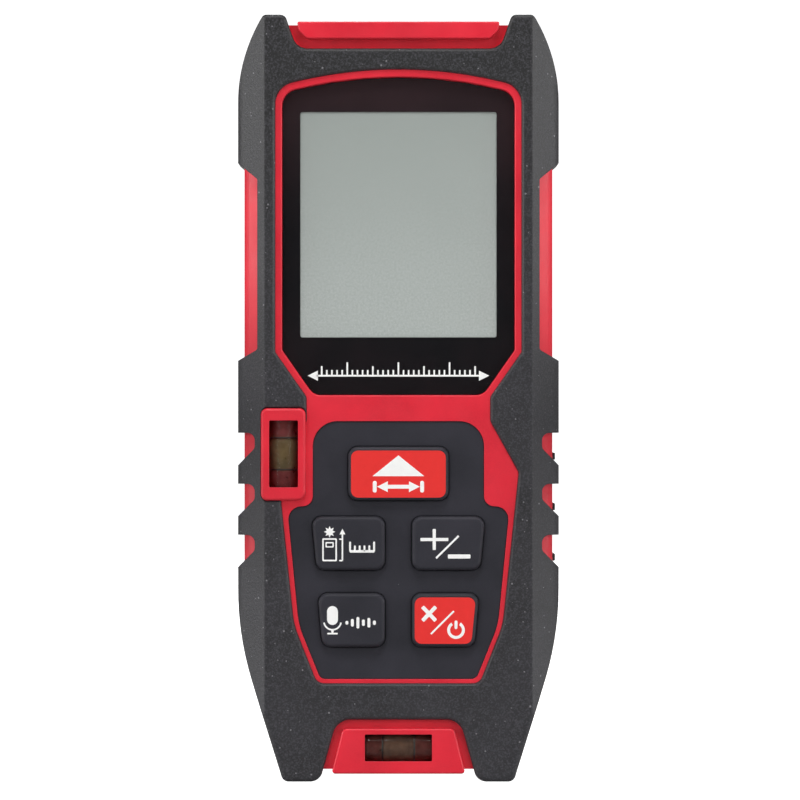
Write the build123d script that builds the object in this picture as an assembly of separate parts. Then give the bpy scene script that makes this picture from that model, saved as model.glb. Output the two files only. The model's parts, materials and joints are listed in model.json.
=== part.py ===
from build123d import *
import os
from math import atan, sqrt, tan

# Hand-held laser distance meter, standing on its two feet, in millimetres.
# +Z runs from the feet to the laser end and -Y is the display and keypad side.
# The origin is on the plane of the feet, under the middle of the body.

# ---------------------------------------------------------------- driving dimensions
height = 120.0
half_width = 25.2
skin = 1.0  # thickness of the soft overmould on the sides and the back
wall = 1.8  # wall of the hard housings
gap = 0.2  # gap between pieces that lift or move past each other

# Depths, from the front of the body (negative) to its back.
grip_front = -12.9  # front of the soft overmould
panel_front = -12.4  # red panel round the display and the keypad
core_front = -11.7  # hard housing under the overmould
cavity_front = -10.1
cavity_rear = 10.6
core_rear = 12.4
grip_rear = 13.4
key_front = -13.4
vial_frame_front = -13.3
seam_half = 0.1  # half the gap between the front and rear overmoulds

# Silhouette seen from the front.
crease_half = 21.0  # where the flat front turns into the side bevel
horn_top_half = 21.1
horn_corner_height = 113.5
horn_slope = (half_width - horn_top_half) / (height - horn_corner_height)
foot_outer_half = 18.03
foot_corner_height = 22.84
foot_slope = (half_width - foot_outer_half) / foot_corner_height
top_notch_floor = 114.7
top_notch_half = 15.9
horn_inner_half = 17.75
core_top = 118.4
core_bottom = 1.95
top_gutter_floor = -11.0  # front of the housing in the channel under the top bar
notch_tops = [54.55, 46.55, 38.55]  # upper edges of the finger notches

# Boards and display, all parallel to the front.
board_front = -5.8
board_rear = -4.6
lcd_rear = -8.1
backlight_rear = -6.0
window_rear = -11.1

# Keys.
key_travel = 0.8
key_clearance = 0.08
dome_height = 0.5
key_stem_end = board_front - dome_height - key_travel - 0.05  # just clear of its dome
upper_key_centre = (7.85, 37.3)
lower_key_centre = (7.2, 25.3)
measure_key_centre = (0.0, 48.2)

# Spirit vials.
vial_radius = 2.5
vial_bore = 1.9
vial_depth = -10.15  # Y of both vial axes
side_vial_x = -17.95
side_vial_z = 51.3
side_vial_length = 12.4
end_vial_z = 5.3
end_vial_length = 12.4
bubble_radius = 1.2
bubble_length = 3.4
bubble_travel = 2.6
bubble_rise = 0.55  # how far the bubble floats in front of the vial axis

# Batteries: two AAA cells side by side.
cell_radius = 5.25
cell_length = 43.7
cell_cap_radius = 1.9
cell_cap_length = 0.8
cell_x = 5.45
cell_y = 4.7
cell_bottom = 16.6
tray_half = 11.0
tray_bottom = 13.6
tray_top = 65.4
tray_floor = -0.75
tray_wall = 1.0

# Battery cover, hinged on two round lugs at its lower corners.
cover_half = 13.4
cover_top = 68.3
cover_thickness = 1.8
hinge_y = core_rear - cover_thickness / 2
hinge_z = 11.6
lug_radius = 0.6
lug_clearance = 0.06
lug_length = 1.2

# Optics at the laser end.
optics_y = 3.2
receiver_x = 5.2
receiver_radius = 7.0
lens_thickness = 2.6
lens_curve = 22.0  # radius of the lens's front face
laser_x = -8.6
laser_radius = 3.2
laser_bore = 2.2
optics_bottom = 84.0
window_z = (115.6, 117.0)

# Loudspeaker for the spoken readings, behind its sound holes.
speaker_z = 76.6
speaker_radius = 5.4

# Screws.
screw_radius = 1.0
screw_head_radius = 1.9
boss_radius = 2.4
case_screw_places = [(19.4, 101.0), (-19.4, 101.0), (15.6, 10.4), (-15.6, 10.4)]
board_screw_places = [(12.6, 62.4), (-12.6, 62.4), (0.0, 12.6)]


# ---------------------------------------------------------------- drawing helpers
def outline(corners):
    """Closed face from its corners, each given as x, z and a corner radius."""
    points = [(x, z) for x, z, _ in corners]
    radii = [r for _, _, r in corners]
    return make_face(FilletPolyline(*points, radius=radii, close=True))


def symmetric(right_half):
    """Closed face from the corners of its right half, listed from the top down."""
    left_half = [(-x, z, r) for x, z, r in reversed(right_half) if x > 0]
    return outline(right_half + left_half)


def slab(face, front, rear):
    """Solid with a front-view outline, between two depths."""
    return extrude(Plane.XZ.offset(-rear) * face, amount=rear - front)


def block(x_range, y_range, z_range):
    """Box between two corners."""
    ranges = (x_range, y_range, z_range)
    size = [high - low for low, high in ranges]
    middle = [(low + high) / 2 for low, high in ranges]
    return Pos(*middle) * Box(*size)


def pad(face, front, rear, rounding):
    """Slab whose front or rear rim, at the first depth, is rounded."""
    shape = slab(face, min(front, rear), max(front, rear))
    return fillet(in_plane(shape, front), rounding)


def lipped_cutter(face, surface, floor, lip):
    """Cutter for an opening whose rim at the surface opens out in two soft steps."""
    inward = 1 if floor > surface else -1
    beyond = surface - inward
    shape = slab(face, min(beyond, floor), max(beyond, floor))
    outward = (0, -inward, 0)
    steep = extrude(Plane.XZ.offset(-surface - inward * lip) * face, amount=0.7 * lip, dir=outward, taper=-25)
    rim = steep.faces().sort_by(Axis.Y)[0 if inward > 0 else -1]
    return shape + steep + extrude(rim, amount=0.3 * lip + 0.02, dir=outward, taper=-58)


def rod(place, radius, front, rear):
    """Cylinder along Y at a front-view place."""
    x, z = place
    return slab(Pos(x, z) * Circle(radius), front, rear)


def pillar(x, y, radius, bottom, top):
    """Cylinder along Z."""
    return Pos(x, y, (bottom + top) / 2) * Cylinder(radius, top - bottom)


def bar(y, z, radius, left, right):
    """Cylinder along X."""
    return Pos((left + right) / 2, y, z) * Rot(0, 90, 0) * Cylinder(radius, right - left)


def group(solids):
    """Separate solids that share one node."""
    return Compound(children=list(solids))


def in_plane(shape, y):
    """Edges that lie in the plane at one depth."""
    return shape.edges().filter_by_position(Axis.Y, y, y)


# ---------------------------------------------------------------- outlines from the front
def body_outline(inset, top, bottom):
    """Body silhouette without notches, shrunk by an inset, between two heights."""
    side = half_width - inset
    horn_shift = inset * sqrt(1 + horn_slope**2)
    foot_shift = inset * sqrt(1 + foot_slope**2)
    top_half = half_width - horn_shift - horn_slope * (top - horn_corner_height)
    bottom_half = half_width - foot_shift - foot_slope * (foot_corner_height - bottom)
    horn_corner = horn_corner_height - (horn_shift - inset) / horn_slope
    foot_corner = foot_corner_height + (foot_shift - inset) / foot_slope
    slanted_length = (top - horn_corner) * sqrt(1 + horn_slope**2)
    horn_radius = 0.92 * slanted_length / tan(atan(horn_slope) / 2)
    return symmetric(
        [
            (top_half, top, 0.2),
            (side, horn_corner, min(horn_radius, 26.0)),
            (side, foot_corner, 48.0 - inset),
            (bottom_half, bottom, 0.8),
        ]
    )


def grip_outline():
    """Overmould silhouette with the notches between its horns and its feet."""
    return symmetric(
        [
            (top_notch_half, top_notch_floor, 2.4),
            (horn_inner_half, height, 1.0),
            (horn_top_half, height, 0.8),
            (half_width, horn_corner_height, 25.0),
            (half_width, foot_corner_height, 48.0),
            (foot_outer_half, 0, 1.2),
            (12.3, 0, 2.0),
            (9.6, 9.7, 2.8),
        ]
    )


def panel_outline():
    """Inner edge of the overmould round the display and the keypad."""
    return symmetric(
        [
            (0, 113.3, 68.0),
            (19.25, 108.7, 3.4),
            (19.25, 67.2, 0.8),
            (14.35, 60.2, 1.4),
            (14.35, 56.4, 1.4),
            (18.8, 48.4, 1.2),
            (16.3, 24.5, 12.0),
            (12.7, 15.4, 1.6),
        ]
    )


def window_outline():
    """Display window, with an arched top and cut lower corners."""
    return symmetric(
        [
            (0, 112.1, 68.0),
            (18.2, 107.8, 2.6),
            (18.2, 67.5, 0.8),
            (13.3, 60.45, 2.2),
        ]
    )


def keypad_outline(margin=0.0):
    """Keypad field, stepped out below the main key."""
    side = 13.4 + margin
    return symmetric(
        [
            (side, 56.4 + margin, 3.9),
            (side, 43.2 + margin, 1.6 - margin / 2),
            (17.4 + margin, 42.9 + margin, 2.0),
            (15.6 + margin, 24.5, 12.0),
            (12.2 + margin, 16.05 - margin, 1.2),
        ]
    )


def end_plate_outline():
    """Raised trapezoid between the feet that frames the end vial."""
    return symmetric([(8.7, 8.3, 0.8), (10.5, 1.25, 0.5)])


def top_bar_outline():
    """Raised bar between the horns."""
    return symmetric([(15.85, 118.9, 0.3), (15.65, 117.5, 0.9), (14.3, 116.2, 1.0)])


def top_gutter_outline():
    """Sunk channel round the top bar, between the horns."""
    return symmetric([(horn_inner_half, height, 0), (top_notch_half, top_notch_floor, 2.4)])


def vial_frame_outline(margin=0.0):
    """Raised frame round the side vial window."""
    return outline(
        [
            (-21.5 - margin, 58.4 + margin, 1.0),
            (-14.5 + margin, 58.4 + margin, 1.0),
            (-14.5 + margin, 44.0 - margin, 1.4),
            (-21.5 - margin, 44.0 - margin, 1.0),
        ]
    )


def side_strip_outline(sign):
    """Gap in the overmould that bares the housing above the grip notches."""
    return outline(
        [
            (sign * 26.0, 97.6, 0),
            (sign * 24.0, 95.9, 0.4),
            (sign * 22.1, 94.3, 0.5),
            (sign * 22.1, 67.6, 0.5),
            (sign * 26.0, 65.4, 0),
        ]
    )


def grip_notch_outline(sign, top):
    """One finger notch: a flat hooked top and a slanted lower edge."""
    return outline(
        [
            (sign * 26.0, top, 0),
            (sign * 22.5, top, 1.2),
            (sign * 22.5, top - 2.4, 1.0),
            (sign * 26.0, top - 5.9, 0),
        ]
    )


def key_outline(name, margin=0.0):
    """Key seen from the front. The lower four lean in towards the bottom."""
    rounding = 1.5 + margin
    if name == "measure_key":
        side = 7.85 + margin
        return symmetric([(side, 52.4 + margin, rounding), (side, 44.0 - margin, rounding)])
    sign = 1 if name in ("plus_minus_key", "clear_off_key") else -1
    upper = name in ("unit_key", "plus_minus_key")
    outer, outer_low = (13.6, 12.8) if upper else (12.65, 11.9)
    top, bottom = (41.5, 33.1) if upper else (29.5, 21.1)
    return outline(
        [
            (sign * (2.1 - margin), top + margin, rounding),
            (sign * (outer + margin), top + margin, rounding),
            (sign * (outer_low + margin), bottom - margin, rounding),
            (sign * (2.1 - margin), bottom - margin, rounding),
        ]
    )


key_centres = {
    "measure_key": measure_key_centre,
    "unit_key": (-upper_key_centre[0], upper_key_centre[1]),
    "plus_minus_key": upper_key_centre,
    "function_key": (-lower_key_centre[0], lower_key_centre[1]),
    "clear_off_key": lower_key_centre,
}


# ---------------------------------------------------------------- body volumes
def bevelled_prism(inset, front, rear):
    """Endless bar along Z whose section gives the body its bevelled long edges."""
    side = half_width - inset
    shift = inset * sqrt(2)
    front_sum = crease_half - grip_front - shift
    rear_sum = crease_half + grip_rear - shift
    corners = [
        (front_sum + front, front, 0.5),
        (side, side - front_sum, 2.5),
        (side, rear_sum - side, 2.5),
        (rear_sum - rear, rear, 0.8),
    ]
    mirrored = [(-x, y, r) for x, y, r in reversed(corners)]
    return Pos(0, 0, -1) * extrude(outline(corners + mirrored), amount=height + 2)


def core(front, rear):
    """Hard body under the overmould, between two depths."""
    shape = slab(body_outline(skin, core_top, core_bottom), core_front, core_rear)
    shape = shape & bevelled_prism(skin, core_front, core_rear)
    return shape & slab(Pos(0, height / 2) * Rectangle(80, 2 * height), front, rear)


def cavity(front, rear):
    """Hollow inside the housings, between two depths."""
    inset = skin + wall
    shape = slab(body_outline(inset, core_top - wall, core_bottom + wall), cavity_front, cavity_rear)
    shape = shape & bevelled_prism(inset, cavity_front, cavity_rear)
    return shape & slab(Pos(0, height / 2) * Rectangle(80, 2 * height), front, rear)


def optics_window_space():
    """Seat of the end window, half in each housing."""
    return block((-15.0, 15.0), (-5.6, 10.4), window_z)


def optics_opening():
    """Opening in the end wall over the end window."""
    shape = block((-14.2, 14.2), (-4.8, 9.6), (window_z[0] - 3, core_top + 1))
    return fillet(shape.edges().filter_by(Axis.Z), 2.0)


# ---------------------------------------------------------------- front half
def vial_pockets():
    """Spaces for the two vials, each open to its window in the front."""
    side_space = block(
        (side_vial_x - vial_radius, side_vial_x + vial_radius),
        (vial_depth - vial_radius, vial_depth + vial_radius),
        (side_vial_z - side_vial_length / 2, side_vial_z + side_vial_length / 2),
    )
    side_opening = outline([(-20.2, 56.5, 0.2), (-15.7, 56.5, 0.2), (-15.7, 46.05, 0.2), (-20.2, 46.05, 0.2)])
    side_window = slab(side_opening, vial_frame_front - 1, vial_depth)
    end_space = block(
        (-end_vial_length / 2, end_vial_length / 2),
        (vial_depth - vial_radius, vial_depth + vial_radius),
        (end_vial_z - vial_radius, end_vial_z + vial_radius),
    )
    end_window = slab(symmetric([(5.25, 7.4, 0.2), (5.25, 3.2, 0.2)]), vial_frame_front - 1, vial_depth)
    return side_space + side_window + end_space + end_window


def front_housing():
    """Red front shell with the display, keypad and vial windows."""
    shape = core(core_front, 0) - cavity(cavity_front - 1, 1)
    for x, z in case_screw_places:
        shape += rod((x, z), boss_radius, cavity_front - 0.5, 0) & core(core_front, 0)
    for place in board_screw_places:
        shape += rod(place, 1.9, cavity_front - 0.5, board_front)
    shape -= slab(top_gutter_outline(), core_front - 1, top_gutter_floor)
    shape += slab(panel_outline(), panel_front, cavity_front - 0.5)
    shape += pad(end_plate_outline(), grip_front, cavity_front, 0.3)
    shape += pad(top_bar_outline(), grip_front, cavity_front, 0.3)
    shape += pad(vial_frame_outline(), vial_frame_front, cavity_front, 0.45)
    shape += block((-21.3, -14.8), (cavity_front - 0.5, vial_depth + vial_radius), (44.1, 58.5))
    shape += block((-7.0, 7.0), (cavity_front - 0.5, vial_depth + vial_radius), (2.0, 8.6))
    shape -= vial_pockets()
    shape -= lipped_cutter(window_outline(), panel_front, window_rear, 0.2)
    shape -= block((-15.95, 15.95), (window_rear - 1, cavity_front + 1), (69.0, 105.4))
    shape -= slab(keypad_outline(), panel_front - 1, cavity_front + 1)
    shape -= optics_window_space() + optics_opening()
    for place in case_screw_places:
        shape -= rod(place, screw_radius, -7.0, 0)
    for place in board_screw_places:
        shape -= rod(place, 0.7, -9.6, board_front)
    return shape


def front_overmould():
    """Black rubber skin of the front half, with horns, feet and finger notches."""
    shape = pad(grip_outline(), grip_front, -seam_half, 0.6) & bevelled_prism(0, grip_front, grip_rear)
    shape -= core(core_front, 1)
    shape -= lipped_cutter(panel_outline(), grip_front, core_front + 0.01, 0.5)
    shape -= lipped_cutter(vial_frame_outline(0.05), grip_front, cavity_front, 0.3)
    for sign in (-1, 1):
        shape -= slab(side_strip_outline(sign), grip_front - 1, 1)
        for top in notch_tops:
            shape -= slab(grip_notch_outline(sign, top), grip_front - 1, 1)
    return shape


def display_window():
    """Acrylic window, printed black round its clear middle."""
    shape = slab(window_outline(), panel_front + 0.25, window_rear)
    return chamfer(in_plane(shape, panel_front + 0.25), 0.15)


def lcd_panel():
    """Display glass with its front polariser standing in the housing's opening."""
    glass = block((-17.0, 17.0), (cavity_front, lcd_rear), (66.2, 107.6))
    return glass + block((-15.75, 15.75), (window_rear + 0.1, cavity_front + 0.1), (69.2, 105.2))


def lcd_backlight():
    """White light guide behind the display glass."""
    return block((-16.6, 16.6), (lcd_rear, backlight_rear), (69.2, 107.2))


def lcd_connector():
    """Rubber strip that carries the segment lines from the glass to the board."""
    return block((-15.0, 15.0), (lcd_rear, board_front), (66.6, 68.6))


def keypad_mat():
    """Rubber field round the keys, held from inside by its flange."""
    shape = slab(keypad_outline(), panel_front + 0.2, cavity_front)
    shape += slab(keypad_outline(0.7), cavity_front, cavity_front + 0.8)
    for name in key_centres:
        shape -= slab(key_outline(name, key_clearance), panel_front - 1, cavity_front + 2)
    return shape


def key(name):
    """Rubber key cap with the stem that presses its dome switch."""
    cap = slab(key_outline(name), key_front, cavity_front + 0.6)
    cap = fillet(in_plane(cap, key_front), 0.6)
    return cap + rod(key_centres[name], 2.0, cavity_front + 0.5, key_stem_end)


def dome_switch(place):
    """Shallow metal dome on the board."""
    base = rod(place, 3.0, board_front - 0.15, board_front)
    return base + rod(place, 1.6, board_front - dome_height, board_front - 0.1)


def main_board():
    """Circuit board that carries the display, switches and optics."""
    board = symmetric([(19.0, 111.5, 1.0), (21.4, 107.0, 2.0), (21.4, 23.0, 20.0), (17.2, 9.2, 1.0)])
    shape = slab(board, board_front, board_rear)
    for place in case_screw_places:
        shape -= rod(place, boss_radius + 0.3, board_front - 1, board_rear + 1)
    for place in board_screw_places:
        shape -= rod(place, 1.0, board_front - 1, board_rear + 1)
    return shape


def board_chips():
    """Processor, memory and power parts soldered to the back of the board."""
    chips = [  # x, z, width, height, thickness
        (0, 70.6, 8.0, 7.0, 1.2),
        (15.2, 42.0, 5.0, 6.0, 1.4),
        (-16.0, 36.0, 4.0, 6.0, 1.0),
        (15.0, 31.0, 3.6, 3.0, 1.6),
    ]
    return group(
        block((x - w / 2, x + w / 2), (board_rear, board_rear + t), (z - h / 2, z + h / 2))
        for x, z, w, h, t in chips
    )


# ---------------------------------------------------------------- vials
def vial(end):
    """Tube, plug, liquid and bubble of a spirit vial whose axis is +Z at the origin."""
    length = side_vial_length if end == "side" else end_vial_length
    bore_low = -length / 2 + 0.8
    bore_high = length / 2 - 0.8
    tube = pillar(0, 0, vial_radius, -length / 2, length / 2) - pillar(0, 0, vial_bore, bore_low, length)
    plug = pillar(0, 0, vial_bore, bore_high, length / 2)
    channel_half = bubble_travel + bubble_length / 2 + 0.1
    channel = block(
        (-bubble_radius - 0.05, bubble_radius + 0.05),
        (-bubble_rise - bubble_radius - 0.2, -bubble_rise + bubble_radius + 0.05),
        (-channel_half, channel_half),
    )
    liquid = pillar(0, 0, vial_bore, bore_low, bore_high) - channel
    bubble = pillar(0, -bubble_rise, bubble_radius, -bubble_length / 2, bubble_length / 2)
    bubble = fillet(bubble.edges().filter_by(GeomType.CIRCLE), bubble_radius * 0.75)
    return {"tube": tube, "plug": plug, "liquid": liquid, "bubble": bubble}


# ---------------------------------------------------------------- rear half
def rear_housing():
    """Red rear shell with the battery tray and the seat of its cover."""
    shape = core(0, core_rear) - cavity(-1, cavity_rear + 1)
    for place in case_screw_places:
        shape += rod(place, boss_radius, 0, core_rear - 0.5) & core(0, core_rear)
    shape += block((-15.8, 15.8), (9.0, cavity_rear + 0.5), (9.0, 70.4))
    shape += block(
        (-tray_half - tray_wall, tray_half + tray_wall),
        (tray_floor - tray_wall, 9.5),
        (tray_bottom - tray_wall, tray_top + tray_wall),
    )
    shape -= block((-tray_half, tray_half), (tray_floor, core_rear + 1), (tray_bottom, tray_top))
    seat_half = cover_half + gap
    seat_floor = core_rear - cover_thickness - gap
    shape -= block((-seat_half, seat_half), (seat_floor, core_rear + 1), (10.5, cover_top + gap))
    lug_reach = cover_half + lug_length + gap
    shape -= bar(hinge_y, hinge_z, lug_radius + lug_clearance, -lug_reach, lug_reach)
    shape -= optics_window_space() + optics_opening()
    for place in case_screw_places:
        shape -= rod(place, screw_radius + 0.15, -1, core_rear + 1)
        shape -= rod(place, screw_head_radius + 0.2, 3.0, core_rear + 1)
    for row in range(3):
        for column in range(5):
            hole = (2.0 * (column - 2), speaker_z + 2.0 * (row - 1))
            shape -= rod(hole, 0.5, cavity_rear - 1, core_rear + 1)
    return shape


def notch_rib(top):
    """Thin rib across one finger notch on the right of the rear half."""
    face = outline([(21.0, top, 0), (24.9, top, 0.3), (24.9, top - 1.1, 0.3), (21.0, top - 1.1, 0)])
    return slab(face, seam_half, grip_rear) & bevelled_prism(0.4, grip_front, grip_rear - 0.3)


def rear_opening_outline():
    """Opening of the rear overmould round the cover and the sound holes."""
    return symmetric([(14.4, 104.0, 3.0), (14.4, 9.9, 2.0)])


def rear_overmould():
    """Black rubber skin of the rear half."""
    shape = pad(grip_outline(), grip_rear, seam_half, 0.6) & bevelled_prism(0, grip_front, grip_rear)
    for sign in (-1, 1):
        shape -= slab(side_strip_outline(sign), -1, grip_rear + 1)
        for top in notch_tops:
            shape -= slab(grip_notch_outline(sign, top), -1, grip_rear + 1)
    for top in notch_tops:
        shape += notch_rib(top - 3.2)
    shape -= core(-1, core_rear)
    shape -= lipped_cutter(rear_opening_outline(), grip_rear, core_rear - 0.01, 0.5)
    for place in case_screw_places:
        shape -= rod(place, screw_head_radius + 0.2, core_rear - 1, grip_rear + 1)
    return shape


def battery_cover():
    """Flush cover with a barrel edge, two hinge lugs and a ribbed thumb grip."""
    front = core_rear - cover_thickness
    rear = core_rear
    plate = symmetric([(cover_half, cover_top, 2.0), (cover_half, hinge_z, 0)])
    shape = slab(plate, front, rear)
    shape += bar(hinge_y, hinge_z, cover_thickness / 2, -cover_half, cover_half)
    shape += bar(hinge_y, hinge_z, lug_radius, -cover_half - lug_length, cover_half + lug_length)
    for rib in range(5):
        shape += slab(Pos(0, 57.0 + 1.9 * rib) * RectangleRounded(12.0, 0.9, 0.4), rear - 0.2, rear + 0.4)
    for sign in (-1, 1):
        shape -= block((sign * 8.0 - 0.3, sign * 8.0 + 0.3), (front - 1, rear + 1), (53.0, cover_top + 1))
    return shape


def battery_cell(x):
    """AAA cell with its button end."""
    top = cell_bottom + cell_length
    can = pillar(x, cell_y, cell_radius, cell_bottom, top)
    return can + pillar(x, cell_y, cell_cap_radius, top, top + cell_cap_length)


def battery_spring(x):
    """Coil spring contact, drawn as the stack of its turns on a tab."""
    shape = block((x - 4.0, x + 4.0), (cell_y - 4.0, cell_y + 4.0), (tray_bottom, tray_bottom + 0.4))
    for turn in range(3):
        bottom = tray_bottom + 0.4 + turn * 0.86
        radius = 3.2 - 0.4 * turn
        coil = pillar(x, cell_y, radius, bottom, bottom + 0.88)
        shape += coil - pillar(x, cell_y, radius - 0.9, bottom - 0.1, bottom + 1)
    return shape


def battery_plate(x):
    """Flat contact at the button end."""
    top = cell_bottom + cell_length + cell_cap_length
    shape = block((x - 4.0, x + 4.0), (cell_y - 4.0, cell_y + 4.0), (tray_top - 0.4, tray_top))
    return shape + block((x - 1.6, x + 1.6), (cell_y - 1.6, cell_y + 1.6), (top, tray_top - 0.3))


# ---------------------------------------------------------------- optics, sound and screws
def optics_window():
    """Dark window over the laser and the receiver lens."""
    return block((-14.9, 14.9), (-5.5, 10.3), (window_z[0] + 0.05, window_z[1] - 0.05))


def optics_chassis():
    """Moulded bracket that holds the laser and the receiver lens in line."""
    top = window_z[0] - 0.3
    seat = top - lens_thickness
    throat = optics_bottom + 4.0
    shape = block((-13.4, 13.4), (board_rear + 0.4, 10.4), (optics_bottom, top))
    funnel = Cone(2.0, receiver_radius - 0.6, seat - throat)
    shape -= Pos(receiver_x, optics_y, (throat + seat) / 2) * funnel
    shape -= pillar(receiver_x, optics_y, receiver_radius, seat, top + 1)
    shape -= pillar(receiver_x, optics_y, 2.0, optics_bottom - 1, throat + 1)
    shape -= pillar(laser_x, optics_y, laser_radius, optics_bottom - 1, top + 1)
    return shape


def receiver_lens():
    """Convex collecting lens."""
    top = window_z[0] - 0.3
    disc = pillar(receiver_x, optics_y, receiver_radius, top - lens_thickness, top)
    ball = Pos(receiver_x, optics_y, top - lens_curve) * Sphere(lens_curve)
    return disc & ball


def laser_module():
    """Brass barrel of the laser diode."""
    barrel = pillar(laser_x, optics_y, laser_radius, optics_bottom + 4.0, 112.6)
    return barrel - pillar(laser_x, optics_y, laser_bore, 108.0, 113)


def laser_lens():
    """Small collimating lens in the mouth of the barrel."""
    return pillar(laser_x, optics_y, laser_bore, 109.4, 111.4)


def receiver_board():
    """Small board behind the chassis with the light sensor on it."""
    return block((-3.0, 12.6), (-3.0, 9.4), (optics_bottom - 1.2, optics_bottom))


def light_sensor():
    """Can of the light sensor, on the receiver board under the lens."""
    return pillar(receiver_x, optics_y, 1.8, optics_bottom, optics_bottom + 2.4)


def speaker():
    """Small loudspeaker can against the back wall."""
    can = rod((0, speaker_z), speaker_radius, cavity_rear - 3.0, cavity_rear - 0.5)
    return can + rod((0, speaker_z), speaker_radius - 0.5, cavity_rear - 0.5, cavity_rear)


def case_screw(place):
    """Self-tapping screw driven from the back."""
    shaft = rod(place, screw_radius - 0.02, -6.0, 3.0)
    head = rod(place, screw_head_radius, 3.0, 4.4)
    socket = block((place[0] - 0.9, place[0] + 0.9), (3.7, 5.0), (place[1] - 0.2, place[1] + 0.2))
    cross = block((place[0] - 0.2, place[0] + 0.2), (3.7, 5.0), (place[1] - 0.9, place[1] + 0.9))
    return shaft + head - socket - cross


def board_screw(place):
    """Self-tapping screw that holds the main board."""
    shaft = rod(place, 0.68, -9.4, board_rear)
    head = rod(place, 1.6, board_rear, board_rear + 1.0)
    return shaft + head


# ---------------------------------------------------------------- assembly
def build():
    """Every piece of the meter by its node name."""
    parts = {
        "front_housing": front_housing(),
        "front_overmould": front_overmould(),
        "display_window": display_window(),
        "lcd_panel": lcd_panel(),
        "lcd_backlight": lcd_backlight(),
        "lcd_connector": lcd_connector(),
        "keypad_mat": keypad_mat(),
        "main_board": main_board(),
        "board_chips": board_chips(),
        "rear_housing": rear_housing(),
        "rear_overmould": rear_overmould(),
        "battery_cover": battery_cover(),
        "battery_left": battery_cell(-cell_x),
        "battery_right": battery_cell(cell_x),
        "battery_springs": group(battery_spring(x) for x in (-cell_x, cell_x)),
        "battery_plates": group(battery_plate(x) for x in (-cell_x, cell_x)),
        "optics_window": optics_window(),
        "optics_chassis": optics_chassis(),
        "receiver_lens": receiver_lens(),
        "laser_module": laser_module(),
        "laser_lens": laser_lens(),
        "receiver_board": receiver_board(),
        "light_sensor": light_sensor(),
        "speaker": speaker(),
        "case_screws": group(case_screw(place) for place in case_screw_places),
        "board_screws": group(board_screw(place) for place in board_screw_places),
        "dome_switches": group(dome_switch(place) for place in key_centres.values()),
    }
    for name in key_centres:
        parts[name] = key(name)
    side_place = Pos(side_vial_x, vial_depth, side_vial_z)
    end_place = Pos(0, vial_depth, end_vial_z) * Rot(0, 90, 0)
    for piece, shape in vial("side").items():
        parts["side_vial_" + piece] = side_place * shape
    for piece, shape in vial("end").items():
        parts["end_vial_" + piece] = end_place * shape
    return parts


os.makedirs("parts", exist_ok=True)
for name, shape in build().items():
    export_step(shape, f"parts/{name}.step")
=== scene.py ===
import json
from math import atan2, cos, pi, radians, sin

import bmesh
import bpy
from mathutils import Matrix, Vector
from mathutils.geometry import tessellate_polygon


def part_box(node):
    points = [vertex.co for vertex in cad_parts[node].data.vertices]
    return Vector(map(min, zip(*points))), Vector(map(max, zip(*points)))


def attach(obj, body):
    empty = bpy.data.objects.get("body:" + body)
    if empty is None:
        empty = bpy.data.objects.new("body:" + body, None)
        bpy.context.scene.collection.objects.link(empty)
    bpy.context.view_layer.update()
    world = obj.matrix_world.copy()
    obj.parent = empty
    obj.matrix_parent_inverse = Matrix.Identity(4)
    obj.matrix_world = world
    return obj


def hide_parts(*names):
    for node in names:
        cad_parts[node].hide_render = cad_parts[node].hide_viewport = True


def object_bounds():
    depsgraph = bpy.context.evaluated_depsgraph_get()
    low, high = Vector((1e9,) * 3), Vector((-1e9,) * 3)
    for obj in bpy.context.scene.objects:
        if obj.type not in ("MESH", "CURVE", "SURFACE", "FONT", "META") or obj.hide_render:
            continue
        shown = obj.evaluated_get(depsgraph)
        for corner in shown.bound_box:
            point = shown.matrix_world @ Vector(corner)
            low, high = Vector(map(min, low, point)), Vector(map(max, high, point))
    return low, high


# Looks of the laser distance meter, in metres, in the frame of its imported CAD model.
# The meter stands on its feet. Its display and keypad face -Y.

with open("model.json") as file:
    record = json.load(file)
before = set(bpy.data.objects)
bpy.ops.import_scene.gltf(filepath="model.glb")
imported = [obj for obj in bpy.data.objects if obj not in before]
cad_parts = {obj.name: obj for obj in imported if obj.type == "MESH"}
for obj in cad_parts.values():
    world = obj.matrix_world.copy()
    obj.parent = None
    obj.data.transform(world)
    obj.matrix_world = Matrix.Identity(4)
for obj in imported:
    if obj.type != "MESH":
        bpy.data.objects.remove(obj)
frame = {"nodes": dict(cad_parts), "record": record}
cad_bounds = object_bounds()
mm = 0.001


def node_box(node):
    """Lowest and highest corners of a CAD node in millimetres."""
    low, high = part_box(node)
    return [c / mm for c in low], [c / mm for c in high]


def node_centre(node):
    """Middle of a CAD node's box in millimetres."""
    return [(a + b) / 2 for a, b in zip(*node_box(node))]


# ---------------------------------------------------------------- colours and shaders
def srgb(red, green, blue):
    """Linear colour from ordinary 0 to 255 display values."""
    return tuple((channel / 255) ** 2.2 for channel in (red, green, blue)) + (1.0,)


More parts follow.
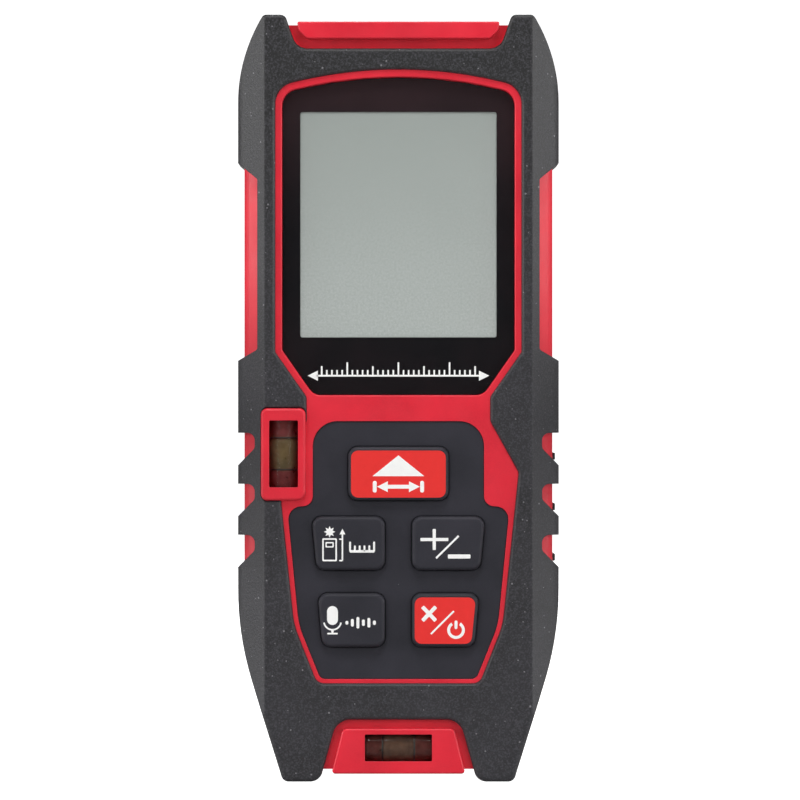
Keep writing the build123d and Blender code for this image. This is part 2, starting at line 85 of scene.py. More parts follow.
class Shader:
    """Short calls that wire one procedural material."""

    def __init__(self, name):
        self.material = bpy.data.materials.new(name)
        self.material.use_nodes = True
        self.tree = self.material.node_tree
        self.surface = self.tree.nodes["Principled BSDF"]
        self.output = self.tree.nodes["Material Output"]
        self.place = self.node("ShaderNodeTexCoord").outputs["Object"]

    def node(self, kind, **settings):
        """New node of one kind, with its settings."""
        made = self.tree.nodes.new(kind)
        for key, value in settings.items():
            setattr(made, key, value)
        return made

    def link(self, source, target):
        self.tree.links.new(source, target)

    def put(self, **values):
        """Sets uniform values on the main shader's own sockets."""
        for socket, value in values.items():
            self.surface.inputs[socket.replace("_", " ")].default_value = value

    def noise(self, scale, detail, stretch=(1, 1, 1)):
        """Soft noise about 0.5, at so many blotches to the metre."""
        texture = self.node("ShaderNodeTexNoise")
        texture.inputs["Scale"].default_value = scale
        texture.inputs["Detail"].default_value = detail
        self.link(self.stretched(stretch), texture.inputs["Vector"])
        return texture.outputs["Fac"]

    def cells(self, scale):
        """Distance to the nearest of a scatter of points."""
        texture = self.node("ShaderNodeTexVoronoi")
        texture.inputs["Scale"].default_value = scale
        self.link(self.place, texture.inputs["Vector"])
        return texture.outputs["Distance"]

    def stretched(self, stretch):
        """Object coordinates, scaled along each axis."""
        if stretch == (1, 1, 1):
            return self.place
        mapping = self.node("ShaderNodeMapping")
        mapping.inputs["Scale"].default_value = stretch
        self.link(self.place, mapping.inputs["Vector"])
        return mapping.outputs["Vector"]

    def remap(self, value, from_low, from_high, to_low, to_high):
        """One range of values spread over another, and clamped to it."""
        mapped = self.node("ShaderNodeMapRange")
        mapped.inputs["From Min"].default_value = from_low
        mapped.inputs["From Max"].default_value = from_high
        mapped.inputs["To Min"].default_value = to_low
        mapped.inputs["To Max"].default_value = to_high
        self.link(value, mapped.inputs["Value"])
        return mapped.outputs["Result"]

    def math(self, operation, first, second):
        """Sum, product or other operation on numbers or sockets."""
        made = self.node("ShaderNodeMath", operation=operation)
        for value, socket in ((first, made.inputs[0]), (second, made.inputs[1])):
            if isinstance(value, (int, float)):
                socket.default_value = value
            else:
                self.link(value, socket)
        return made.outputs["Value"]

    def mix(self, factor, first, second):
        """First colour at a factor of 0 and second at 1, from colours or sockets."""
        made = self.node("ShaderNodeMix", data_type="RGBA")
        self.link(factor, made.inputs["Factor"])
        for value, socket in ((first, made.inputs["A"]), (second, made.inputs["B"])):
            if isinstance(value, tuple):
                socket.default_value = value
            else:
                self.link(value, socket)
        return made.outputs["Result"]

    def axis(self, name):
        """One object coordinate in metres."""
        split = self.node("ShaderNodeSeparateXYZ")
        self.link(self.place, split.inputs["Vector"])
        return split.outputs[name]

    def colour(self, value):
        self.link(value, self.surface.inputs["Base Color"])

    def roughness(self, value):
        self.link(value, self.surface.inputs["Roughness"])

    def bump(self, height, depth, strength, rounding=0.0):
        """Surface relief of a height in metres, over edges softened by a radius."""
        made = self.node("ShaderNodeBump")
        made.inputs["Strength"].default_value = strength
        made.inputs["Distance"].default_value = depth
        self.link(height, made.inputs["Height"])
        if rounding:
            edge = self.node("ShaderNodeBevel", samples=4)
            edge.inputs["Radius"].default_value = rounding
            self.link(edge.outputs["Normal"], made.inputs["Normal"])
        self.link(made.outputs["Normal"], self.surface.inputs["Normal"])


def moulded_plastic(name, colour, rough=0.42, grain=5200.0, depth=0.012 * mm):
    """Injection moulded plastic: fine spark texture, faint flow shading, rubbed gloss."""
    shader = Shader(name)
    darker = tuple(channel * 0.86 for channel in colour[:3]) + (1.0,)
    paler = tuple(min(1.0, channel * 1.07 + 0.004) for channel in colour[:3]) + (1.0,)
    broad = shader.remap(shader.noise(140.0, 4.0), 0.3, 0.7, 0.0, 1.0)
    fine = shader.noise(grain, 2.0)
    tinted = shader.mix(broad, darker, paler)
    shader.colour(shader.mix(shader.remap(fine, 0.35, 0.65, 0.0, 0.35), tinted, paler))
    shader.roughness(shader.remap(shader.noise(420.0, 3.0), 0.3, 0.7, rough - 0.06, rough + 0.08))
    shader.bump(fine, depth, 0.6, rounding=0.12 * mm)
    return shader.material


def grip_rubber(name):
    """Matt overmould rubber: pebbled grain, pale specks and handling haze, with painted shade that darkens it
    towards the laser end.
    """
    shader = Shader(name)
    dark, pale = srgb(23, 22, 26), srgb(36, 35, 40)
    haze = shader.remap(shader.noise(90.0, 5.0), 0.32, 0.68, 0.0, 1.0)
    # Painted shade: the rubber's colour grows darker towards the laser end.
    painted_shade_high = shader.remap(shader.axis("Z"), 60 * mm, 104 * mm, 0.0, 0.9)
    pebble = shader.noise(4300.0, 3.0)
    base = shader.mix(painted_shade_high, shader.mix(haze, dark, pale), srgb(10, 10, 12))
    base = shader.mix(shader.remap(pebble, 0.45, 0.7, 0.0, 0.7), base, srgb(70, 69, 75))
    speck_size = shader.remap(shader.noise(700.0, 0.0), 0.4, 0.75, 0.02, 0.15)
    speck = shader.math("LESS_THAN", shader.cells(900.0), speck_size)
    shader.colour(shader.mix(speck, base, srgb(116, 115, 119)))
    shader.roughness(shader.remap(pebble, 0.3, 0.7, 0.45, 0.63))
    shader.put(Sheen_Weight=0.03, Sheen_Roughness=0.5, Specular_IOR_Level=0.65)
    relief = shader.math("ADD", pebble, shader.math("MULTIPLY", shader.cells(2600.0), 0.6))
    shader.bump(relief, 0.04 * mm, 0.8, rounding=0.25 * mm)
    return shader.material


def keypad_rubber(name):
    """Smooth silicone: slightly blue black, with a very fine matt skin and a little dust."""
    shader = Shader(name)
    haze = shader.remap(shader.noise(120.0, 4.0), 0.32, 0.68, 0.0, 1.0)
    fine = shader.noise(5200.0, 2.0)
    base = shader.mix(haze, srgb(41, 41, 48), srgb(50, 49, 57))
    dust_size = shader.remap(shader.noise(110.0, 1.0), 0.5, 0.75, 0.0, 0.06)
    dust = shader.math("LESS_THAN", shader.cells(420.0), dust_size)
    shader.colour(shader.mix(dust, base, srgb(110, 110, 116)))
    shader.roughness(shader.remap(fine, 0.3, 0.7, 0.5, 0.64))
    shader.put(Sheen_Weight=0.03, Sheen_Roughness=0.45, Specular_IOR_Level=0.35)
    shader.bump(fine, 0.012 * mm, 0.6, rounding=0.3 * mm)
    return shader.material


def ink(name, colour):
    """Screen-printed ink with a slightly uneven film."""
    shader = Shader(name)
    thin = tuple(channel * 0.96 for channel in colour[:3]) + (1.0,)
    film = shader.remap(shader.noise(900.0, 4.0), 0.3, 0.7, 0.0, 1.0)
    shader.colour(shader.mix(film, thin, colour))
    shader.roughness(shader.remap(shader.noise(2600.0, 2.0), 0.3, 0.7, 0.4, 0.55))
    shader.bump(shader.noise(5000.0, 2.0), 0.006 * mm, 0.5)
    return shader.material


def black_print(name):
    """Black back-printing seen through polished acrylic, with a painted reddish reflection of the housing
    that grows towards the laser end.
    """
    shader = Shader(name)
    # Painted reflection: the black turns reddish towards the laser end, as if it mirrored the red housing.
    painted_reflection_high = shader.remap(shader.axis("Z"), 93 * mm, 110 * mm, 0.0, 0.85)
    painted_red_reflection = shader.math("ADD", painted_reflection_high, shader.noise(60.0, 3.0))
    shader.colour(shader.mix(shader.remap(painted_red_reflection, 0.4, 1.3, 0.0, 1.0), srgb(24, 23, 26), srgb(51, 39, 42)))
    shader.roughness(shader.remap(shader.noise(700.0, 4.0), 0.3, 0.75, 0.3, 0.4))
    shader.put(Specular_IOR_Level=0.1)
    return shader.material


def see_through(name, tint, gloss_rough, strength=1.0):
    """Thin clear or tinted window: what is behind it, under a reflection that grows towards the edge."""
    shader = Shader(name)
    clear = shader.node("ShaderNodeBsdfTransparent")
    clear.inputs["Color"].default_value = tint
    gloss = shader.node("ShaderNodeBsdfGlossy")
    smear = shader.remap(shader.noise(260.0, 4.0), 0.3, 0.7, gloss_rough, gloss_rough + 0.06)
    shader.link(smear, gloss.inputs["Roughness"])
    head_on = 0.04  # share that clear plastic reflects when it is seen straight on
    grazing = shader.math("POWER", shader.node("ShaderNodeLayerWeight").outputs["Facing"], 5.0)
    mirrored = shader.math("ADD", shader.math("MULTIPLY", grazing, 1.0 - head_on), head_on)
    blend = shader.node("ShaderNodeMixShader")
    shadow = shader.node("ShaderNodeLightPath").outputs["Is Shadow Ray"]
    lit = shader.math("MULTIPLY", shader.math("SUBTRACT", 1.0, shadow), strength)
    shader.link(shader.math("MULTIPLY", mirrored, lit), blend.inputs["Fac"])
    shader.link(clear.outputs["BSDF"], blend.inputs[1])
    shader.link(gloss.outputs["BSDF"], blend.inputs[2])
    shader.link(blend.outputs["Shader"], shader.output.inputs["Surface"])
    shader.tree.nodes.remove(shader.surface)
    return shader.material


def vial_fluid(name, axis, centre, middle, ends):
    """Level-vial fluid: its own tint between the rings and a painted darker red past them, for the shaded red
    pocket wall showing through; part clear and part cloudy.
    """
    shader = Shader(name)
    away = shader.math("ABSOLUTE", shader.math("SUBTRACT", shader.axis(axis), centre * mm), 0.0)
    drift = shader.remap(shader.noise(420.0, 3.0), 0.3, 0.7, -0.35 * mm, 0.35 * mm)
    # Painted shade: past the rings the fluid takes the darker red of the shaded pocket wall behind it.
    past_ring = shader.remap(shader.math("ADD", away, drift), 2.2 * mm, 3.0 * mm, 0.0, 1.0)
    tint = shader.mix(past_ring, middle, ends)
    body = shader.node("ShaderNodeBsdfDiffuse")
    clear = shader.node("ShaderNodeBsdfTransparent")
    blend = shader.node("ShaderNodeMixShader")
    shader.link(tint, body.inputs["Color"])
    shader.link(tint, clear.inputs["Color"])
    shader.link(shader.remap(shader.noise(900.0, 2.0), 0.3, 0.7, 0.25, 0.4), blend.inputs["Fac"])
    shader.link(clear.outputs["BSDF"], blend.inputs[1])
    shader.link(body.outputs["BSDF"], blend.inputs[2])
    shader.link(blend.outputs["Shader"], shader.output.inputs["Surface"])
    shader.tree.nodes.remove(shader.surface)
    return shader.material


def bubble_skin(name, centre, rim):
    """Air bubble with painted shading: pale where it faces the eye, with a dark green rim."""
    shader = Shader(name)
    fresnel = shader.node("ShaderNodeFresnel")
    fresnel.inputs["IOR"].default_value = 1.33
    # Painted shading: the colour goes from pale in the middle to dark green at the bubble's edge, by viewing
    # angle.
    painted_rim_shade = shader.remap(fresnel.outputs["Fac"], 0.025, 0.22, 0.0, 1.0)
    uneven = shader.remap(shader.noise(1200.0, 2.0), 0.3, 0.7, -0.12, 0.12)
    shader.colour(shader.mix(shader.math("ADD", painted_rim_shade, uneven), centre, rim))
    shader.put(Roughness=0.25)
    return shader.material


def lcd_glass(name):
    """Unlit reflective display: grey-green, with painted light that makes it paler towards the keys, and a
    fine cell pattern.
    """
    shader = Shader(name)
    top, bottom = 104 * mm, 70 * mm
    # Painted light: the display's colour grows paler towards the keys.
    painted_light_low = shader.remap(shader.axis("Z"), top, bottom, 0.0, 1.0)
    cloud = shader.remap(shader.noise(30.0, 2.0), 0.35, 0.65, -0.12, 0.12)
    base = shader.mix(shader.math("ADD", painted_light_low, cloud), srgb(166, 173, 169), srgb(193, 199, 196))
    weave = shader.noise(3000.0, 1.0)
    shader.colour(shader.mix(shader.remap(weave, 0.3, 0.7, 0.0, 0.6), base, srgb(167, 175, 170)))
    shader.put(Roughness=0.5, Specular_IOR_Level=0.3)
    return shader.material


def metal(name, colour, rough, stretch):
    """Plated or turned metal with fine directional tool marks."""
    shader = Shader(name)
    marks = shader.noise(1800.0, 3.0, stretch)
    darker = tuple(channel * 0.75 for channel in colour[:3]) + (1.0,)
    shader.colour(shader.mix(shader.remap(marks, 0.3, 0.7, 0.0, 1.0), darker, colour))
    shader.put(Metallic=1.0)
    shader.roughness(shader.remap(marks, 0.3, 0.7, rough - 0.06, rough + 0.1))
    shader.bump(marks, 0.008 * mm, 0.5)
    return shader.material


side_vial_z = node_centre("side_vial_tube")[2]
end_vial_x = node_centre("end_vial_tube")[0]

finishes = {
    "red_shell": moulded_plastic("red_shell_abs", srgb(226, 35, 55)),
    "grip_rubber": grip_rubber("grip_tpe"),
    "keypad_rubber": keypad_rubber("keypad_silicone"),
    "dark_rubber": keypad_rubber("connector_silicone"),
    "window_acrylic": see_through("window_clear", (0.98, 0.98, 0.98, 1.0), 0.03),
    "mask_black": black_print("window_mask_ink"),
    "lcd_glass": lcd_glass("lcd_reflective"),
    "light_guide": moulded_plastic("light_guide_white", srgb(225, 228, 226), 0.3),
    "circuit_board": moulded_plastic("solder_mask_green", srgb(20, 92, 52), 0.35),
    "chip_plastic": moulded_plastic("epoxy_black", srgb(34, 34, 37), 0.55),
    "cover_plastic": moulded_plastic("cover_abs_black", srgb(44, 44, 48), 0.5, 4200.0, 0.02 * mm),
    "cell_wrap": moulded_plastic("cell_sleeve", srgb(150, 156, 162), 0.28, 2600.0, 0.004 * mm),
    "contact_steel": metal("contact_nickel", srgb(196, 196, 194), 0.3, (1, 1, 8)),
    "screw_steel": metal("screw_black_zinc", srgb(62, 62, 66), 0.4, (1, 8, 1)),
    "optics_acrylic": see_through("optics_tint", (0.30, 0.02, 0.03, 1.0), 0.04),
    "clear_glass": see_through("lens_glass", (0.86, 0.93, 0.97, 1.0), 0.02, 1.6),
    "laser_brass": metal("barrel_brass", srgb(198, 160, 88), 0.25, (1, 1, 12)),
    "bracket_plastic": moulded_plastic("bracket_black", srgb(36, 36, 40), 0.55),
    "vial_acrylic": see_through("vial_clear", (0.95, 0.95, 0.92, 1.0), 0.06, 0.5),
    # The second colour of each vial fluid is painted shade: the red pocket wall seen through the liquid.
    "vial_liquid": vial_fluid("side_vial_fluid", "Z", side_vial_z, srgb(158, 140, 108), srgb(180, 98, 100)),
    "end_liquid": vial_fluid("end_vial_fluid", "X", end_vial_x, srgb(140, 112, 98), srgb(140, 84, 80)),
    "ink_white": ink("ink_white", srgb(255, 255, 253)),
    "ink_red": ink("ink_red", srgb(237, 46, 43)),
    "ring_black": moulded_plastic("ring_black", srgb(18, 18, 20), 0.4),
    "air_bubble": bubble_skin("bubble_air", srgb(198, 194, 140), srgb(92, 104, 44)),
}

# Every CAD piece wears the finish that is named after its slot in the record.
slot_of_node = {part["node"]: part["material_slot"] for part in frame["record"]["subparts"]}
for node_name, node_object in frame["nodes"].items():
    for slot in node_object.material_slots:
        slot.material = finishes[slot_of_node[node_name]]


# ---------------------------------------------------------------- flat shapes, in millimetres
# A shape is a list of closed loops of (x, z) points: its outer edge first, then its holes.
def arc(x, z, radius, start, end):
    """Points along an arc from one angle in degrees to another."""
    steps = 24
    angles = [radians(start + (end - start) * k / steps) for k in range(steps + 1)]
    return [(x + radius * cos(a), z + radius * sin(a)) for a in angles]


def arc_band(x, z, radius, line, start, end):
    """Curved line of one width."""
    return [arc(x, z, radius + line / 2, start, end) + arc(x, z, radius - line / 2, end, start)]


def rounded(corners, radii):
    """Closed loop whose corners are rounded by arcs, of one radius or one for each corner."""
    loop = []
    count = len(corners)
    if not isinstance(radii, list):
        radii = [radii] * count
    for k, (corner, radius) in enumerate(zip(corners, radii)):
        here = Vector(corner)
        back = (Vector(corners[k - 1]) - here).normalized()
        ahead = (Vector(corners[(k + 1) % count]) - here).normalized()
        half = back.angle(ahead) / 2
        reach = radius / sin(half)
        centre = here + (back + ahead).normalized() * reach
        tangents = [here + side * reach * cos(half) - centre for side in (back, ahead)]
        first = atan2(tangents[0].y, tangents[0].x)
        turn = (atan2(tangents[1].y, tangents[1].x) - first + pi) % (2 * pi) - pi
        steps = 6
        for step in range(steps + 1):
            angle = first + turn * step / steps
            loop.append((centre.x + radius * cos(angle), centre.y + radius * sin(angle)))
    return loop


def box_shape(left, bottom, right, top, radius):
    """Filled box with rounded corners."""
    return [rounded([(left, bottom), (right, bottom), (right, top), (left, top)], radius)]


def box_frame(left, bottom, right, top, line, radius):
    """Box drawn as a line of one width."""
    outer = box_shape(left, bottom, right, top, radius)
    inner = box_shape(left + line, bottom + line, right - line, top - line, radius * 0.5)
    return outer + inner


def stroke(start, end, width, roundness=0.9):
    """Straight line with rounded ends."""
    run = (Vector(end) - Vector(start)).normalized() * width / 2
    across = Vector((-run.y, run.x))
    overrun = run * 0.2
    begin, finish = Vector(start) - overrun, Vector(end) + overrun
    corners = [begin - across, finish - across, finish + across, begin + across]
    return [rounded([tuple(c) for c in corners], width / 2 * roundness)]


def star(x, z, outer, inner, count):
    """Star with a count of points."""
    loop = []
    for k in range(2 * count):
        radius = outer if k % 2 == 0 else inner
        angle = pi / 2 + pi * k / count
        loop.append((x + radius * cos(angle), z + radius * sin(angle)))
    return [loop]


def arrow_head(tip, size, direction):
    """Small filled arrow head that points along the direction in degrees."""
    a = radians(direction)
    forward, side = Vector((cos(a), sin(a))), Vector((-sin(a), cos(a)))
    base = Vector(tip) - forward * size
    return [[tuple(tip), tuple(base + side * size * 0.5), tuple(base - side * size * 0.5)]]


# ---------------------------------------------------------------- mesh pieces
film_thickness = 0.02
film_step, film_levels = 0.002, 4  # shapes of one film take turns at four heights


def add_piece(name, points, faces, finish, body, smooth=False):
    """Mesh object that rides on a CAD body and wears one of the finishes."""
    mesh = bpy.data.meshes.new(name)
    mesh.from_pydata([tuple(p) for p in points], [], faces)
    work = bmesh.new()
    work.from_mesh(mesh)
    bmesh.ops.recalc_face_normals(work, faces=work.faces)
    work.to_mesh(mesh)
    work.free()
    mesh.polygons.foreach_set("use_smooth", [smooth] * len(mesh.polygons))
    mesh.materials.append(finishes[finish])
    piece = bpy.data.objects.new(name, mesh)
    bpy.context.collection.objects.link(piece)
    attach(piece, body)
    return piece


def print_film(name, body, finish, shapes, surface, thickness=film_thickness):
    """Thin film of ink on a surface that faces -Y. Shapes that cross get slightly different heights."""
    points, faces = [], []
    for order, loops in enumerate(shapes):
        start, count = len(points), sum(len(loop) for loop in loops)
        for depth in (surface - thickness - film_step * (order % film_levels), surface):
            points += [(x * mm, depth * mm, z * mm) for loop in loops for x, z in loop]
        for triangle in tessellate_polygon([[Vector((x, z, 0)) for x, z in loop] for loop in loops]):
            faces.append(tuple(start + k for k in triangle))
            faces.append(tuple(start + count + k for k in reversed(triangle)))
        first = start
        for loop in loops:
            for k in range(len(loop)):
                here, after = first + k, first + (k + 1) % len(loop)
                faces.append((here, after, after + count, here + count))
            first += len(loop)
    return add_piece(name, points, faces, finish, body)


def turned(name, body, finish, centre, axis, profile, hollow=False):
    """Solid or hoop from (along, radius) points turned about an axis, X or Z, through its centre."""
    sides = 48
    points, faces = [], []
    for along, radius in profile:
        for k in range(sides):
            a = 2 * pi * k / sides
            u, v = radius * cos(a), radius * sin(a)
            offset = (along, u, v) if axis == "X" else (u, v, along)
            points.append(tuple((c + o) * mm for c, o in zip(centre, offset)))
    rings = len(profile)
    for ring in range(rings if hollow else rings - 1):
        low, high = ring * sides, (ring + 1) % rings * sides
        for k in range(sides):
            after = (k + 1) % sides
            faces.append((low + k, low + after, high + after, high + k))
    if not hollow:
        faces += [tuple(range(sides)), tuple((rings - 1) * sides + k for k in range(sides))]
    return add_piece(name, points, faces, finish, body, smooth=True)


# ---------------------------------------------------------------- display
window_low, window_high = node_box("display_window")
view_left, view_right = -15.37, 15.37
view_bottom, view_top = 69.5, 104.8


def window_mask():
    """Black mask printed on the back of the clear window, open over the display glass."""
    half, foot, film = window_high[0], window_low[2], 0.03
    edge = 0.04  # how far the print stays inside the window, at its rim and at its back
    # Right half of the window's outline: x, z and corner radius, from the top of the arch down.
    right = [(0.0, 112.1, 68.0), (half, 107.8, 2.6), (half, 67.5, 0.8), (13.3, foot, 2.2)]
    right = [(max(x - edge, 0.0), z + (edge if z < foot + 1 else -edge), r) for x, z, r in right]
    loop = right + [(-x, z, r) for x, z, r in reversed(right) if x > 0]
    outer = rounded([(x, z) for x, z, _ in loop], [r for _, _, r in loop])
    opening = box_shape(view_left, view_bottom, view_right, view_top, 0.35)
    mask = print_film("window_mask", "body", "mask_black", [[outer] + opening], window_high[1] - edge, film)


def scale_strip():
    """Row of measuring ticks with an arrow at each end, under the display."""
    half, base, head = 14.2, 63.5, 1.6
    ticks, tick_gap, tick_half, film = 30, 0.8, 0.13, 0.015
    line_half = half - 1.4
    shapes = [stroke((-line_half, base), (line_half, base), 0.28)]
    for k in range(ticks + 1):
        x = (k - ticks / 2) * tick_gap
        tall = 2.1 if k % 10 == 5 else 1.5 if k % 5 == 0 else 0.9
        shapes.append(box_shape(x - tick_half, base + 0.05, x + tick_half, base + tall, 0.05))
    shapes += [arrow_head((-half, base), head, 180), arrow_head((half, base), head, 0)]
    print_film("scale_strip", "body", "ink_white", shapes, window_low[1], film)


# ---------------------------------------------------------------- key printing
# Each sign is drawn at its own place on the keypad, in the frame's millimetres.
def length_arrow(z, half, line):
    """Measured length: a double arrow between two end bars, across the middle of the meter."""
    line_half, tip, head, bar_half = half - 1.3, half - 0.35, 1.7, 0.85
    return [
        stroke((-line_half, z), (line_half, z), line),
        arrow_head((-tip, z), head, 180),
        arrow_head((tip, z), head, 0),
        stroke((-half, z - bar_half), (-half, z + bar_half), line),
        stroke((half, z - bar_half), (half, z + bar_half), line),
    ]


def measure_signs():
    """Red field with the triangle over a length arrow."""
    field = [box_shape(-7.4, 44.45, 7.4, 51.8, 1.1)]
    triangle = [[(-4.05, 47.8), (4.05, 47.8), (0.0, 51.05)]]
    return field, [triangle] + length_arrow(46.15, 3.7, 0.6)


def unit_signs():
    """A small meter with its laser star, a height arrow and a rule."""
    arrow_x, rule_z = -8.75, 36.05
    signs = [
        star(-10.75, 39.1, 0.9, 0.5, 8),
        box_frame(-11.9, 34.5, -9.6, 38.1, 0.24, 0.2),
        box_frame(-11.4, 36.65, -10.1, 37.5, 0.2, 0.15),
        stroke((arrow_x, 34.6), (arrow_x, 38.8), 0.24),
        arrow_head((arrow_x, 39.6), 0.9, 90),
        stroke((-9.25, 34.6), (arrow_x, 34.6), 0.22),
        stroke((-9.25, 37.95), (-8.85, 37.95), 0.22),
        stroke((-7.6, rule_z), (-3.75, rule_z), 0.4),
    ]
    for k in range(6):
        tall = 1.5 if k % 5 == 0 else 0.9
        x = -7.55 + 0.75 * k
        signs.append(stroke((x, rule_z), (x, rule_z + tall), 0.3))
    return [], signs


def plus_minus_signs():
    """Plus and minus with a slash between them."""
    return [], [
        stroke((3.5, 37.9), (7.75, 37.9), 0.5, 0.4),
        stroke((5.6, 36.3), (5.6, 39.5), 0.5, 0.4),
        stroke((9.4, 38.45), (5.9, 35.0), 0.3, 0.4),
        stroke((7.8, 35.25), (11.2, 35.25), 0.64, 0.4),
    ]


def function_signs():
    """Microphone and a sound wave."""
    signs = [
        box_shape(-11.15, 24.55, -9.45, 27.5, 0.84),
        arc_band(-10.3, 25.15, 1.35, 0.26, 190, 350),
        stroke((-10.3, 23.8), (-10.3, 23.35), 0.4),
        stroke((-11.1, 23.2), (-9.5, 23.2), 0.26),
    ]
    wave_z = 24.9
    for k, tall in enumerate((0.5, 1.1, 1.7, 0.9, 1.4, 0.6)):
        x = -8.05 + 0.86 * k
        signs.append(stroke((x, wave_z - tall / 2), (x, wave_z + tall / 2), 0.46))
    return [], signs


def clear_off_signs():
    """Red field with a cross, a slash and the power sign."""
    field = [[rounded([(2.55, 21.6), (11.4, 21.6), (12.1, 28.85), (2.55, 28.85)], 1.1)]]
    signs = [
        stroke((3.8, 25.25), (5.8, 27.35), 0.6, 0.5),
        stroke((3.8, 27.35), (5.8, 25.25), 0.6, 0.5),
        stroke((8.65, 26.7), (5.1, 23.15), 0.28, 0.4),
        arc_band(9.0, 23.75, 1.15, 0.46, 122, 418),
        stroke((9.0, 23.95), (9.0, 25.2), 0.46),
    ]
    return field, signs


key_signs = {
    "measure_key": measure_signs,
    "unit_key": unit_signs,
    "plus_minus_key": plus_minus_signs,
    "function_key": function_signs,
    "clear_off_key": clear_off_signs,
}


def print_keys():
    """Red fields of the two red keys and the white signs of all five."""
    for key, signs_of_key in key_signs.items():
        face = node_box(key)[0][1]
        field, signs = signs_of_key()
        if field:
            print_film(key + "_field", key, "ink_red", field, face)
            face -= film_thickness
        print_film(key + "_signs", key, "ink_white", signs, face)


# ---------------------------------------------------------------- vials
def fill_vial(end, axis):
    """Liquid, air bubble and the two black rings of one vial."""
    along = 0 if axis == "X" else 2
    low, high = node_box(end + "_vial_tube")
    centre = node_centre(end + "_vial_tube")
    end_wall, bore, rounding = 0.85, 2.3, 0.3
    half = (high[along] - low[along]) / 2 - end_wall
    narrow = bore - rounding
    profile = [(-half, narrow), (-half + rounding, bore), (half - rounding, bore), (half, narrow)]
    finish = "vial_liquid" if end == "side" else "end_liquid"
    liquid = turned(end + "_fluid", "body", finish, centre, axis, profile)
    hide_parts(end + "_vial_liquid")
    low, high = node_box(end + "_vial_bubble")
    middle = node_centre(end + "_vial_bubble")
    length, radius, steps = (high[along] - low[along]) / 2, (high[1] - low[1]) / 2, 12
    angles = [pi * (0.04 + 0.92 * k / steps) for k in range(steps + 1)]
    blunt = 0.7  # under 1 makes the bubble's ends blunter than an ellipse's
    shape = [(-length * cos(a), radius * sin(a) ** blunt) for a in angles]
    bubble = turned(end + "_bubble", end + "_vial_bubble", "air_bubble", middle, axis, shape)
    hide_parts(end + "_vial_bubble")
    ring_place, ring_half, ring_inner, ring_outer = 2.5, 0.11, 2.34, 2.44
    for sign, label in ((-1, "low"), (1, "high")):
        start, stop = sign * ring_place - ring_half, sign * ring_place + ring_half
        edge = [(start, ring_inner), (start, ring_outer), (stop, ring_outer), (stop, ring_inner)]
        ring = turned(end + "_ring_" + label, "body", "ring_black", centre, axis, edge, hollow=True)


window_mask()
scale_strip()
print_keys()
fill_vial("side", "Z")
fill_vial("end", "X")


# ---------------------------------------------------------------- stage, light and camera
def backdrop():
    """Round pale floor that curves up into a low wall, the same from every side."""
    floor_radius, bend_radius, wall_height = 2.2, 1.2, 3.2
    profile = [(0.4, 0.0), (1.2, 0.0)]
    steps = 14
    for step in range(steps + 1):
        angle = pi / 2 * step / steps
        profile.append((floor_radius + bend_radius * sin(angle), bend_radius * (1 - cos(angle))))
    profile.append((floor_radius + bend_radius, wall_height))
    sides = 96
    turns = [2 * pi * k / sides for k in range(sides)]
    points = [(radius * cos(a), radius * sin(a), z) for radius, z in profile for a in turns]
    faces = [tuple(range(sides))]
    for ring in range(len(profile) - 1):
        for k in range(sides):
            after = (k + 1) % sides
            low, high = ring * sides, (ring + 1) * sides
            faces.append((low + k, high + k, high + after, low + after))
    mesh = bpy.data.meshes.new("backdrop")
    mesh.from_pydata(points, [], faces)
    mesh.polygons.foreach_set("use_smooth", [True] * len(mesh.polygons))
    piece = bpy.data.objects.new("backdrop", mesh)
    bpy.context.collection.objects.link(piece)
    shader = Shader("backdrop_paper")
    fibre = shader.remap(shader.noise(9.0, 5.0), 0.3, 0.7, 0.0, 1.0)
    shader.colour(shader.mix(fibre, (0.42, 0.42, 0.42, 1.0), (0.45, 0.45, 0.45, 1.0)))
    shader.put(Roughness=0.9, Emission_Color=(1.0, 1.0, 1.0, 1.0))
    seen = shader.node("ShaderNodeLightPath").outputs["Is Camera Ray"]
    shader.link(shader.math("MULTIPLY", seen, 1.1), shader.surface.inputs["Emission Strength"])
    mesh.materials.append(shader.material)


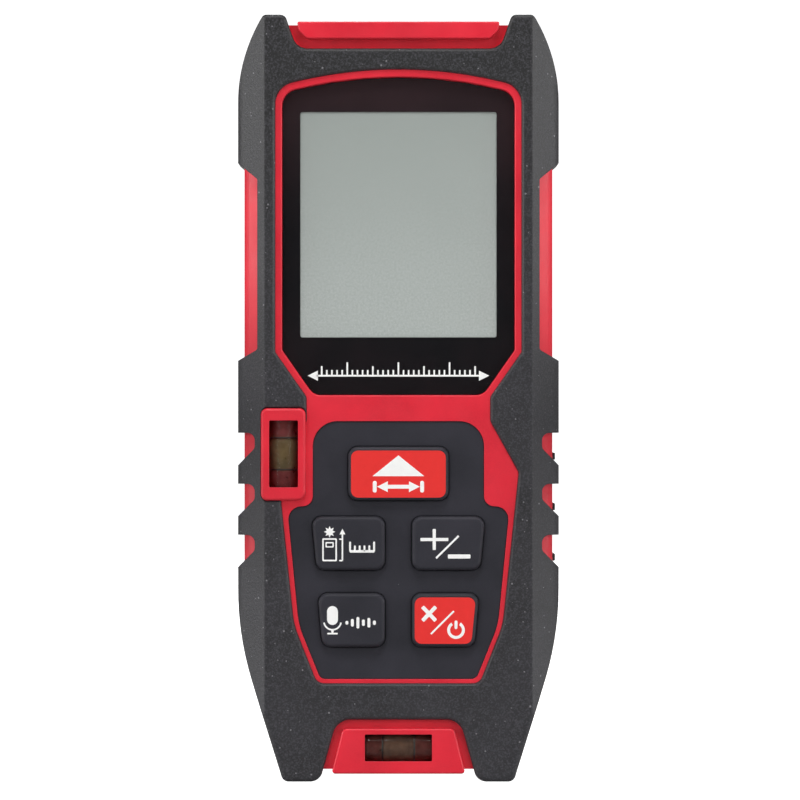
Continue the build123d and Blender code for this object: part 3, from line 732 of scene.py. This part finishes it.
def shade_card(name, x):
    """Small black card, unseen by the camera, that keeps side light off the middle of the grip."""
    front, back, low, high = -46 * mm, -6 * mm, 56 * mm, 79 * mm
    mesh = bpy.data.meshes.new(name)
    mesh.from_pydata([(x, front, low), (x, back, low), (x, back, high), (x, front, high)], [], [(0, 1, 2, 3)])
    piece = bpy.data.objects.new(name, mesh)
    bpy.context.collection.objects.link(piece)
    shader = Shader(name + "_paper")
    fibre = shader.remap(shader.noise(300.0, 4.0), 0.3, 0.7, 0.0, 1.0)
    shader.colour(shader.mix(fibre, (0.01, 0.01, 0.01, 1.0), (0.02, 0.02, 0.02, 1.0)))
    mesh.materials.append(shader.material)
    piece.visible_camera = False


def softbox(name, place, size, power):
    """Rectangular lamp, turned towards the middle of the meter."""
    aim = Vector((0.0, 0.0, 60 * mm))
    lamp = bpy.data.lights.new(name, "AREA")
    lamp.shape = "RECTANGLE"
    lamp.size, lamp.size_y = size
    lamp.energy = power
    holder = bpy.data.objects.new(name, lamp)
    bpy.context.collection.objects.link(holder)
    holder.location = place
    holder.rotation_euler = (aim - Vector(place)).to_track_quat("-Z", "Y").to_euler()


def photographer_view():
    """Long lens straight in front of the display, with the meter filling the frame."""
    distance, framed_width = 1.0, 125.0 * mm
    aim_x, aim_z = 0.25 * mm, 59.7 * mm
    face_depth = -cad_bounds[0][1]
    camera = bpy.data.cameras.new("camera")
    camera.sensor_width = 36.0
    camera.lens = camera.sensor_width * (distance - face_depth) / framed_width
    camera.clip_start, camera.clip_end = 0.05, 20.0
    holder = bpy.data.objects.new("camera", camera)
    bpy.context.collection.objects.link(holder)
    holder.location = (aim_x, -distance, aim_z)
    holder.rotation_euler = (radians(90), 0, 0)
    bpy.context.scene.camera = holder


backdrop()
shade_card("left_card", -100 * mm)
shade_card("right_card", 100 * mm)
softbox("front_left_light", (-0.75, -0.9, 0.35), (0.5, 0.6), 2.8)
softbox("front_right_light", (0.75, -0.9, 0.35), (0.5, 0.6), 2.8)
softbox("left_light", (-1.0, -0.2, 0.3), (0.5, 0.5), 6.0)
softbox("right_light", (1.0, -0.2, 0.3), (0.5, 0.5), 5.2)
softbox("top_light", (0.0, -0.8, 1.5), (0.8, 0.5), 14.4)
softbox("rear_light", (0.0, 1.1, 0.8), (0.8, 0.6), 12.0)
photographer_view()

world = bpy.data.worlds.new("studio_air")
world.use_nodes = True
world.node_tree.nodes["Background"].inputs["Color"].default_value = (1.0, 1.0, 1.0, 1.0)
world.node_tree.nodes["Background"].inputs["Strength"].default_value = 0.1
bpy.context.scene.world = world
bpy.context.scene.view_settings.view_transform = "Standard"
